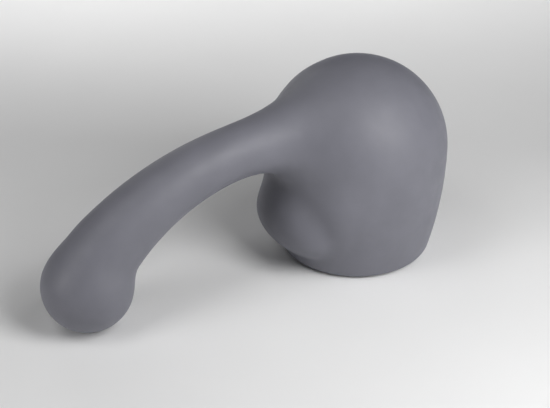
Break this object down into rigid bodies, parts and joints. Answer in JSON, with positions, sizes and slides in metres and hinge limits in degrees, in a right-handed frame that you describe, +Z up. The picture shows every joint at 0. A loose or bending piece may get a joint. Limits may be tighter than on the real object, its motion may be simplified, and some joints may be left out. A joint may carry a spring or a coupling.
{
  "type": "wand massager attachment",
  "caption": "Soft hollow hood that pulls over a massage wand's round head, with a weighted curved arm leaving its side and bending down to a ball tip.",
  "frame": {"origin": "centre of the hood's mouth, in the plane of its rim, which is also the plane the ball tip rests on", "axes": "+Z runs up the hood's axis towards its domed crown, +X runs from the hood towards the ball tip; Y = 0 is the plane of symmetry"},
  "size_m": [0.1802, 0.075, 0.0847],
  "materials": {
    "silicone_skin": "matte, velvety slate-grey silicone",
    "silicone_liner": "satin, darker grey silicone",
    "nylon": "matte moulded nylon, natural off-white",
    "steel": "machined, satin",
    "spacer_rubber": "matte black rubber"
  },
  "bodies": {
    "root": {"outer_skin": "silicone_skin", "socket_liner": "silicone_liner", "saddle_plate": "nylon", "spine_rod": "steel", "root_washer": "steel", "root_nut": "steel", "tip_nut": "steel", "tip_weight": "steel", "arm_weight_1": "steel", "arm_weight_2": "steel", "arm_weight_3": "steel", "arm_weight_4": "steel", "arm_weight_5": "steel", "arm_spacer_1": "spacer_rubber", "arm_spacer_2": "spacer_rubber", "arm_spacer_3": "spacer_rubber", "arm_spacer_4": "spacer_rubber", "arm_spacer_5": "spacer_rubber", "arm_spacer_6": "spacer_rubber"}
  },
  "joints": []
}
